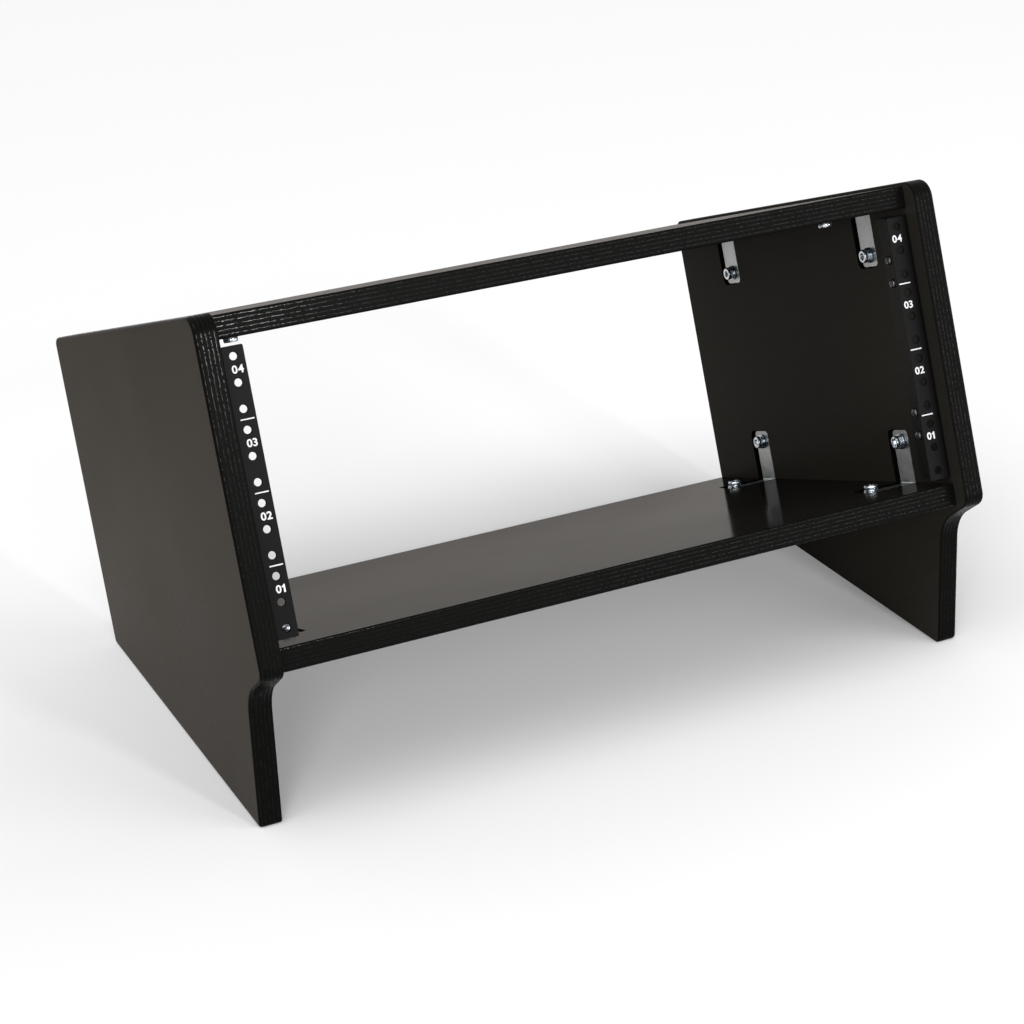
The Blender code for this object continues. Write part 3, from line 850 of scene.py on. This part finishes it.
def make_joints(zinc, bright):
    """The eight brackets, each with two cap screws and their washers."""
    bracket = bracket_mesh()
    quarter_turns = {
        ("left", "bottom"): 0,
        ("left", "top"): 1,
        ("right", "top"): 2,
        ("right", "bottom"): 3,
    }
    stack = FLAT_WASHER_THICKNESS + LOCK_WASHER_THICKNESS
    sample_low, sample_high = lean_box("cap_screw_left_bottom_front_side")
    screw = cap_screw_mesh(CAP_HEAD_HEIGHT - (sample_high.x - sample_low.x))
    flat = flat_washer_mesh()
    lock = lock_washer_mesh()
    count = 0
    for side_name, end_name, place, low, high in bracket_boxes():
        side, end = SIDES[side_name], ENDS[end_name]
        spot = f"{side_name}_{end_name}_{place}"
        corner = Vector((
            low.x if side < 0 else high.x,
            (low.y + high.y) / 2,
            high.z if end > 0 else low.z,
        ))
        turn = Matrix.Rotation(quarter_turns[side_name, end_name] * pi / 2, 4, "Y")
        name = f"bracket_{spot}"
        show(name, bracket.copy(), [zinc], [name], Matrix.Translation(corner) @ turn)
        for panel, inward in (
            ("side", Vector((-side, 0.0, 0.0))),
            (end_name, Vector((0.0, 0.0, -end))),
        ):
            solid = f"cap_screw_{spot}_{panel}"
            screw_low, screw_high = lean_box(solid)
            middle = (screw_low + screw_high) / 2
            reach = (screw_high - screw_low).dot(Vector([abs(value) for value in inward]))
            top = middle + inward * reach / 2
            count += 1
            spin = Matrix.Rotation(radians(CAP_SCREW_SPIN * count), 4, "Z")
            base = facing(inward) @ spin
            seat = top - inward * (CAP_HEAD_HEIGHT + stack)
            head = top - inward * CAP_HEAD_HEIGHT
            spring = seat + inward * FLAT_WASHER_THICKNESS
            for name, mesh, foot in (
                (solid, screw, head),
                (f"lock_washer_{spot}_{panel}", lock, spring),
                (f"flat_washer_{spot}_{panel}", flat, seat),
            ):
                stand = Matrix.Translation(foot) @ base
                show(name, mesh.copy(), [bright], [solid], stand)


def make_rail_screws(bright):
    """The wood screws that hold the rails."""
    low, high = lean_box("rail_screw_right_1")
    mesh = wood_screw_mesh(PAN_HEAD_HEIGHT - (high.x - low.x))
    for side_name, side in SIDES.items():
        inward = Vector((-side, 0.0, 0.0))
        for number in range(1, 5):
            name = f"rail_screw_{side_name}_{number}"
            low, high = lean_box(name)
            middle = (low + high) / 2
            middle.x = (low.x if side > 0 else high.x) + side * PAN_HEAD_HEIGHT
            angle = radians(RAIL_SCREW_SPIN * number + RAIL_SIDE_SPIN * side)
            spin = Matrix.Rotation(angle, 4, "Z")
            place = Matrix.Translation(middle) @ facing(inward) @ spin
            show(name, mesh.copy(), [bright], [name], place)


def node(tree, kind, inputs=(), **settings):
    """Adds a shader node. inputs maps sockets to a value, or to a socket to link from."""
    made = tree.nodes.new(kind)
    for key, value in settings.items():
        setattr(made, key, value)
    for key, value in dict(inputs).items():
        if isinstance(value, bpy.types.NodeSocket):
            tree.links.new(value, made.inputs[key])
        else:
            made.inputs[key].default_value = value
    return made


def new_material(name, **values):
    """A Principled material. Returns it, its tree and its shader."""
    material = bpy.data.materials.new(name)
    material.use_nodes = True
    shader = material.node_tree.nodes["Principled BSDF"]
    for key, value in values.items():
        shader.inputs[key.replace("_", " ")].default_value = value
    return material, material.node_tree, shader


def lean_coordinates(tree, scale=(1.0, 1.0, 1.0)):
    """The place on the rack in the leaning frame, in metres, times a scale for each axis."""
    where = node(tree, "ShaderNodeTexCoord").outputs["Object"]
    turn = UNLEAN.to_3x3().to_euler()
    lean = node(
        tree,
        "ShaderNodeMapping",
        {"Vector": where, "Location": UNLEAN.translation, "Rotation": turn},
        vector_type="POINT",
    )
    return node(
        tree, "ShaderNodeMapping", {"Vector": lean.outputs[0], "Scale": scale}, vector_type="POINT"
    ).outputs[0]


def noise(tree, where, scale, detail=2.0, roughness=0.5):
    """Noise from 0 to 1."""
    inputs = {"Vector": where, "Scale": scale, "Detail": detail, "Roughness": roughness}
    return node(tree, "ShaderNodeTexNoise", inputs).outputs["Fac"]


def between(tree, value, low, high, to_low=0.0, to_high=1.0):
    """Maps a value from one range to another, clamped."""
    inputs = {0: value, 1: low, 2: high, 3: to_low, 4: to_high}
    return node(tree, "ShaderNodeMapRange", inputs, clamp=True).outputs[0]


def calc(tree, operation, first, second):
    """One sum of two values, such as ADD or MULTIPLY."""
    return node(tree, "ShaderNodeMath", {0: first, 1: second}, operation=operation).outputs[0]


def blended(tree, share, first, second):
    """A colour between two colours."""
    made = tree.nodes.new("ShaderNodeMix")
    made.data_type = "RGBA"
    for index, value in ((0, share), (6, first), (7, second)):
        if isinstance(value, bpy.types.NodeSocket):
            tree.links.new(value, made.inputs[index])
        else:
            made.inputs[index].default_value = (*value, 1.0)
    return made.outputs[2]


def bump(tree, height, distance):
    """A bump of a height from 0 to 1 over a distance in metres."""
    inputs = {"Height": height, "Distance": distance}
    return node(tree, "ShaderNodeBump", inputs).outputs[0]


def face_lacquer(name, grain_scale, roughness, ior, tones, sheen=0.0, foot_gloss=0.0):
    """Satin black lacquer on plywood, with faint grain, and glossier towards the foot."""
    material, tree, shader = new_material(
        name, IOR=ior, Sheen_Weight=sheen, Sheen_Roughness=0.4, Sheen_Tint=WARM_SHEEN
    )
    fine = noise(tree, lean_coordinates(tree), 1400.0)
    grain = noise(tree, lean_coordinates(tree, grain_scale), 1.0, detail=4.0, roughness=0.6)
    cloud = noise(tree, lean_coordinates(tree), 9.0, detail=3.0)
    shade = between(tree, calc(tree, "ADD", grain, cloud), 0.75, 1.25)
    colour = blended(tree, shade, *tones)
    tree.links.new(colour, shader.inputs["Base Color"])
    level = node(tree, "ShaderNodeSeparateXYZ", {0: lean_coordinates(tree)}).outputs[2]
    gloss = between(tree, level, 0.0, FOOT_GLOSS_HEIGHT, -foot_gloss, foot_gloss / 2)
    rough = calc(tree, "ADD", between(tree, cloud, 0.3, 0.7, *roughness), gloss)
    tree.links.new(rough, shader.inputs["Roughness"])
    height = calc(tree, "ADD", calc(tree, "MULTIPLY", fine, 0.3), grain)
    tree.links.new(bump(tree, height, GRAIN_HEIGHT), shader.inputs["Normal"])
    return material


def edge_lacquer(name, layer_axis):
    """Black lacquer on the plywood's edges, where the layers show and open pores glint in rows."""
    material, tree, shader = new_material(name, IOR=EDGE_IOR)
    scale = [PORES_ALONG] * 3
    scale[layer_axis] = PORES_ACROSS
    pores = noise(tree, lean_coordinates(tree, scale), 1.0, roughness=0.6)
    plain = lean_coordinates(tree)
    patches = noise(tree, plain, 70.0)
    depth = node(tree, "ShaderNodeSeparateXYZ", {0: plain}).outputs[layer_axis]
    wander = calc(tree, "MULTIPLY", noise(tree, plain, 25.0), LAYER_WANDER)
    depth = calc(tree, "ADD", depth, wander)
    seam = between(tree, calc(tree, "PINGPONG", depth, LAYER / 2), *SEAM_EDGES)
    row = calc(tree, "PINGPONG", depth, LAYER)
    row = between(tree, row, *PORE_LINE_EDGES, to_low=1.0, to_high=0.10)
    patch = between(tree, patches, 0.35, 0.6, to_low=0.5, to_high=1.0)
    open_pores = calc(tree, "MULTIPLY", between(tree, pores, 0.50, 0.56), row)
    open_pores = between(tree, calc(tree, "MULTIPLY", open_pores, patch), 0.22, 0.42)
    wood = blended(tree, seam, *EDGE_BLACK)
    colour = blended(tree, open_pores, wood, PORE_GREY)
    tree.links.new(colour, shader.inputs["Base Color"])
    tree.links.new(open_pores, shader.inputs["Metallic"])
    rough = between(tree, open_pores, 0.0, 1.0, to_low=0.37, to_high=0.15)
    tree.links.new(rough, shader.inputs["Roughness"])
    height = calc(tree, "ADD", calc(tree, "MULTIPLY", seam, 0.6), pores)
    tree.links.new(bump(tree, height, PORE_HEIGHT), shader.inputs["Normal"])
    return material


def powder_coat():
    """Matte black powder coat with a fine pebbled skin."""
    material, tree, shader = new_material("powder_coat", IOR=1.15)
    where = lean_coordinates(tree)
    pebble = noise(tree, where, COAT_PEBBLES)
    cloud = noise(tree, where, 30.0)
    colour = blended(tree, cloud, (0.0028, 0.0028, 0.0028), (0.0040, 0.0040, 0.0039))
    tree.links.new(colour, shader.inputs["Base Color"])
    rough = between(tree, pebble, 0.3, 0.7, to_low=0.34, to_high=0.44)
    tree.links.new(rough, shader.inputs["Roughness"])
    tree.links.new(bump(tree, pebble, COAT_HEIGHT), shader.inputs["Normal"])
    return material


def bare_thread():
    """Oiled black steel in the tapped holes, which the coat leaves bare."""
    material, tree, shader = new_material("bare_thread", IOR=1.02)
    stain = noise(tree, lean_coordinates(tree), 900.0, detail=3.0)
    colour = blended(tree, stain, (0.0030, 0.0029, 0.0027), (0.0085, 0.0080, 0.0070))
    tree.links.new(colour, shader.inputs["Base Color"])
    rough = between(tree, stain, 0.3, 0.7, to_low=0.60, to_high=0.80)
    tree.links.new(rough, shader.inputs["Roughness"])
    return material


def white_ink():
    """White print that lets a little of the coat's grain through."""
    material, tree, shader = new_material("white_ink", Roughness=0.5)
    grain = between(tree, noise(tree, lean_coordinates(tree), COAT_PEBBLES), 0.3, 0.6)
    colour = blended(tree, grain, (0.62, 0.62, 0.64), (0.72, 0.72, 0.73))
    tree.links.new(colour, shader.inputs["Base Color"])
    return material


def zinc_plate(name, stretch, dark, light, roughness):
    """Zinc plate over rolled steel, brushed along one direction of the piece."""
    material, tree, shader = new_material(name, Metallic=1.0)
    where = node(tree, "ShaderNodeTexCoord").outputs["Object"]
    lines = node(tree, "ShaderNodeMapping", {"Vector": where, "Scale": stretch}).outputs[0]
    scratches = noise(tree, lines, 1.0, detail=3.0, roughness=0.6)
    stain = noise(tree, where, 120.0, detail=3.0)
    scratch_half = calc(tree, "MULTIPLY", scratches, 0.5)
    stain_half = calc(tree, "MULTIPLY", stain, 0.5)
    mixed = calc(tree, "ADD", scratch_half, stain_half)
    colour = blended(tree, between(tree, mixed, 0.35, 0.65), dark, light)
    tree.links.new(colour, shader.inputs["Base Color"])
    tree.links.new(between(tree, mixed, 0.3, 0.7, *roughness), shader.inputs["Roughness"])
    tree.links.new(bump(tree, scratches, BRUSH_HEIGHT), shader.inputs["Normal"])
    return material


def make_floor():
    """A pale floor, keeping the rack's shadow, that a painted glow whitens where seen and warms in
    mirrors.
    """
    bm = bmesh.new()
    bmesh.ops.create_circle(bm, cap_ends=True, segments=96, radius=FLOOR_RADIUS)
    mesh = bpy.data.meshes.new("floor")
    bm.to_mesh(mesh)
    bm.free()
    floor = bpy.data.objects.new("floor", mesh)
    bpy.context.scene.collection.objects.link(floor)
    material = bpy.data.materials.new("pale_floor")
    material.use_nodes = True
    tree = material.node_tree
    tree.nodes.remove(tree.nodes["Principled BSDF"])
    where = node(tree, "ShaderNodeTexCoord").outputs["Object"]
    cloud = noise(tree, where, 1.5)
    far = node(tree, "ShaderNodeSeparateXYZ", {0: where}).outputs[1]
    far = calc(tree, "ADD", far, calc(tree, "MULTIPLY", cloud, 0.05))
    far = between(tree, far, *FLOOR_FADE)
    matt = node(tree, "ShaderNodeBsdfDiffuse", {"Color": blended(tree, far, FLOOR_NEAR, FLOOR_FAR)})
    # Painted glow: the lift grows towards the back, which paints the rack's shadow there lighter
    lift = between(tree, far, 0.0, 1.0, *FLOOR_LIFT)
    lift = calc(tree, "MULTIPLY", background_rays(tree), lift)
    # Painted reflection: in a mirror the floor's glow is warm, so the lacquer reflects a warm floor
    mirrored = node(tree, "ShaderNodeLightPath").outputs["Is Glossy Ray"]
    tone = blended(tree, mirrored, WHITE, PAINTED_WARM_REFLECTION)
    glow = node(tree, "ShaderNodeEmission", {"Color": tone, "Strength": lift})
    both = node(tree, "ShaderNodeAddShader", {0: matt.outputs[0], 1: glow.outputs[0]})
    tree.links.new(both.outputs[0], tree.nodes["Material Output"].inputs["Surface"])
    mesh.materials.append(material)


def background_rays(tree):
    """1 for the rays that show the background, straight or in a mirror, and 0 for light."""
    path = node(tree, "ShaderNodeLightPath").outputs
    seen = calc(tree, "MAXIMUM", path["Is Camera Ray"], path["Is Glossy Ray"])
    return calc(tree, "MAXIMUM", seen, path["Is Transmission Ray"])


def make_world():
    """White where it is seen, and a plain soft light all round."""
    world = bpy.data.worlds.new("studio")
    world.use_nodes = True
    tree = world.node_tree
    strength = between(tree, background_rays(tree), 0.0, 1.0, ROOM_LIGHT, 1.0)
    tree.links.new(strength, tree.nodes["Background"].inputs["Strength"])
    tree.nodes["Background"].inputs["Color"].default_value = (*WHITE, 1.0)
    bpy.context.scene.world = world


def add_sun(name, direction, angle, strength):
    """A soft light that shines along a direction, the same everywhere."""
    light = bpy.data.lights.new(name, "SUN")
    light.angle = radians(angle)
    light.energy = strength
    lamp = bpy.data.objects.new(name, light)
    lamp.rotation_euler = Vector(direction).to_track_quat("-Z", "Y").to_euler()
    bpy.context.scene.collection.objects.link(lamp)


def add_lamp(name, place, target, size, power):
    """A square soft box that looks at a target."""
    light = bpy.data.lights.new(name, "AREA")
    light.shape = "SQUARE"
    light.size = size
    light.energy = power
    lamp = bpy.data.objects.new(name, light)
    lamp.location = place
    lamp.rotation_euler = (Vector(target) - Vector(place)).to_track_quat("-Z", "Y").to_euler()
    bpy.context.scene.collection.objects.link(lamp)


def make_camera():
    """The camera at the photograph's viewing angle."""
    data = bpy.data.cameras.new("camera")
    data.sensor_width = CAMERA_SENSOR
    data.lens = CAMERA_LENS
    data.shift_x, data.shift_y = CAMERA_SHIFT
    camera = bpy.data.objects.new("camera", data)
    camera.location = CAMERA_PLACE
    turn = Matrix.Rotation(radians(-CAMERA_HEADING), 3, "Z")
    turn @= Matrix.Rotation(radians(90.0 + CAMERA_PITCH), 3, "X")
    turn @= Matrix.Rotation(radians(CAMERA_ROLL), 3, "Z")
    camera.rotation_euler = turn.to_euler()
    bpy.context.scene.collection.objects.link(camera)
    bpy.context.scene.camera = camera


make_camera()
make_world()
make_floor()
add_sun("key", direction=(0.40, 0.28, -1.0), angle=45.0, strength=0.90)
add_lamp("front", (0.37, -2.12, 1.07), target=(-0.25, -0.15, 0.25), size=0.20, power=13.0)
add_lamp("left", (-1.30, -2.00, 1.10), target=(0.20, -0.10, 0.20), size=0.6, power=16.0)
add_lamp("right", (1.45, -1.75, 0.85), target=(0.25, -0.1, 0.2), size=1.5, power=19.0)

edge_side = edge_lacquer("edge_lacquer_side", 0)
edge_cross = edge_lacquer("edge_lacquer_cross", 2)
face_side = face_lacquer(
    "face_lacquer_side",
    grain_scale=SIDE_GRAIN,
    roughness=(0.38, 0.44),
    ior=SIDE_IOR,
    tones=SIDE_BLACK,
    sheen=0.02,
    foot_gloss=0.15,
)
face_cross = {
    end_name: face_lacquer(
        f"face_lacquer_{end_name}",
        grain_scale=CROSS_GRAIN,
        roughness=roughness,
        ior=CROSS_IOR,
        tones=CROSS_BLACK,
    )
    for end_name, roughness in (("bottom", (0.10, 0.15)), ("top", (0.24, 0.30)))
}
paint = powder_coat()
thread = bare_thread()
ink = white_ink()
bar_zinc = zinc_plate(
    "bar_zinc",
    stretch=(300.0, 2600.0, 300.0),
    dark=(0.255, 0.275, 0.285),
    light=(0.415, 0.445, 0.460),
    roughness=(0.28, 0.42),
)
bright_zinc = zinc_plate(
    "bright_zinc",
    stretch=(500.0, 500.0, 1800.0),
    dark=(0.42, 0.46, 0.50),
    light=(0.68, 0.74, 0.80),
    roughness=(0.16, 0.28),
)
# The rail screws get the zinc plate in a much darker colour than the bracket screws' bright zinc
dark_zinc = zinc_plate(
    "dark_zinc",
    stretch=(900.0, 900.0, 900.0),
    dark=(0.10, 0.10, 0.10),
    light=(0.20, 0.20, 0.20),
    roughness=(0.30, 0.45),
)
yellow_zinc = zinc_plate(
    "yellow_zinc",
    stretch=(900.0, 900.0, 900.0),
    dark=(0.42, 0.36, 0.20),
    light=(0.66, 0.58, 0.36),
    roughness=(0.25, 0.45),
)

for side_name in SIDES:
    make_side_panel(side_name, [face_side, edge_side])
    make_rail(side_name, paint, thread)
    make_marks(side_name, ink)
for end_name in ENDS:
    make_cross_panel(end_name, [face_cross[end_name], edge_cross])
make_joints(bar_zinc, bright_zinc)
make_rail_screws(dark_zinc)
for name, insert in frame["nodes"].items():
    if name.startswith("insert_nut"):
        insert.data.materials.clear()
        insert.data.materials.append(yellow_zinc)

bpy.context.scene.view_settings.view_transform = "Standard"
